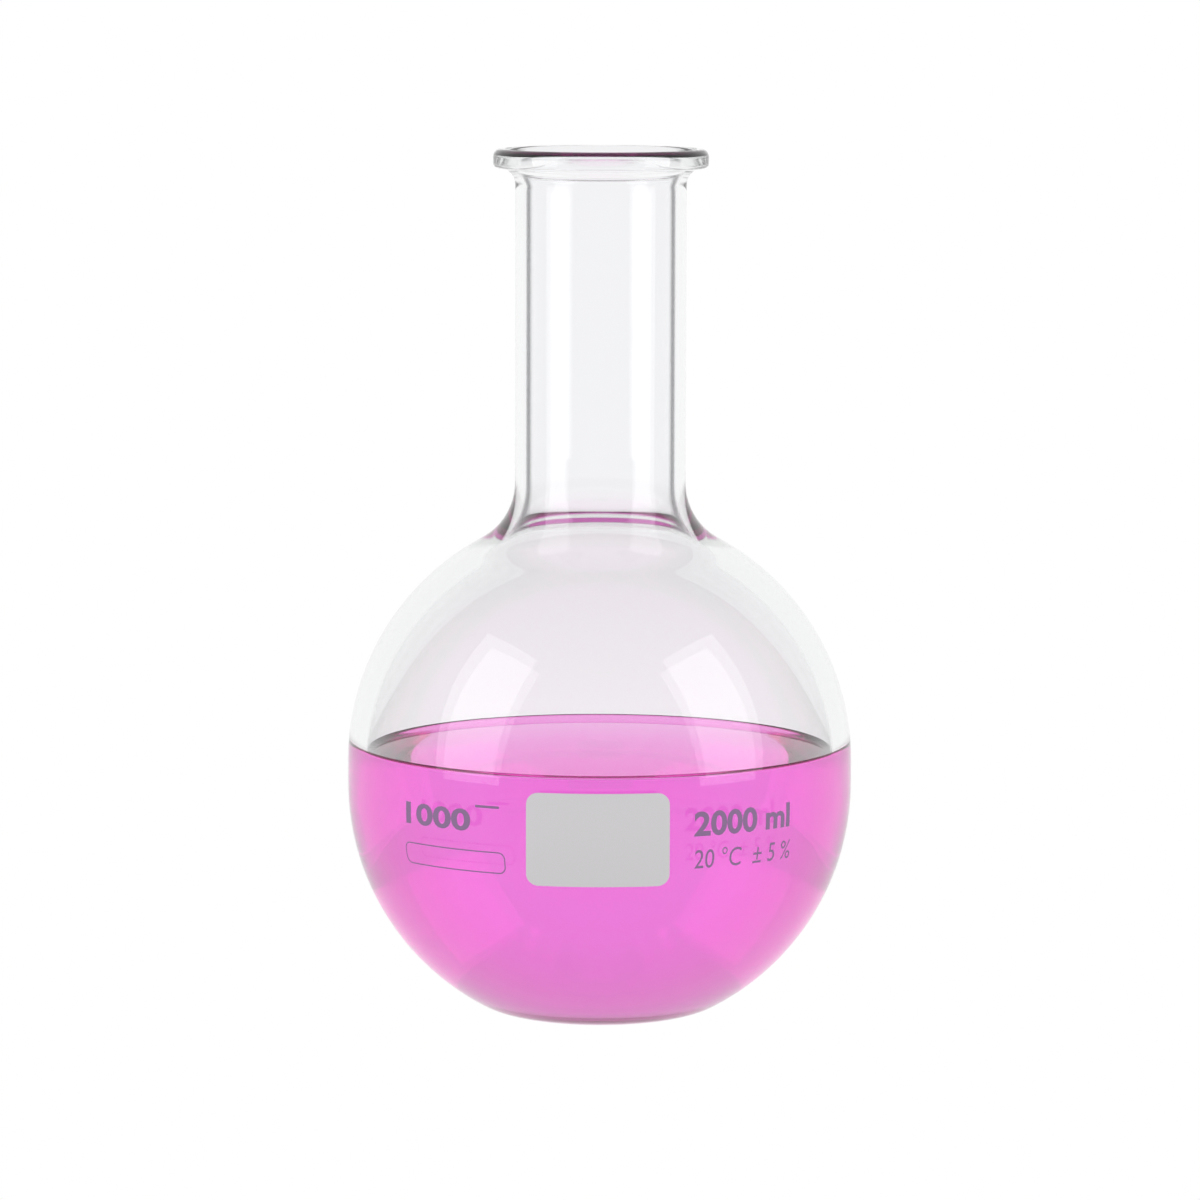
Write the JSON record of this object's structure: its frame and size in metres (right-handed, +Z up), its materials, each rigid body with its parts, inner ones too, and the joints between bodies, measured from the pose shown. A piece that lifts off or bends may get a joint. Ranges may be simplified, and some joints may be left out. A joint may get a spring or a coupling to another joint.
{
  "type": "flat-bottom boiling flask",
  "caption": "Glass boiling flask with a round body, flat foot, long neck and beaded rim, half filled with coloured liquid.",
  "frame": {"origin": "centre of the foot, on the plane that the flask stands on", "axes": "+Z up along the neck, -Y towards the printed front, +X to the right seen from the front"},
  "size_m": [0.166, 0.1662, 0.284],
  "materials": {
    "glass": "gloss",
    "liquid": "gloss",
    "enamel": "satin"
  },
  "bodies": {
    "root": {"flask": "glass", "liquid": "liquid", "marking_patch": "enamel"}
  },
  "joints": []
}
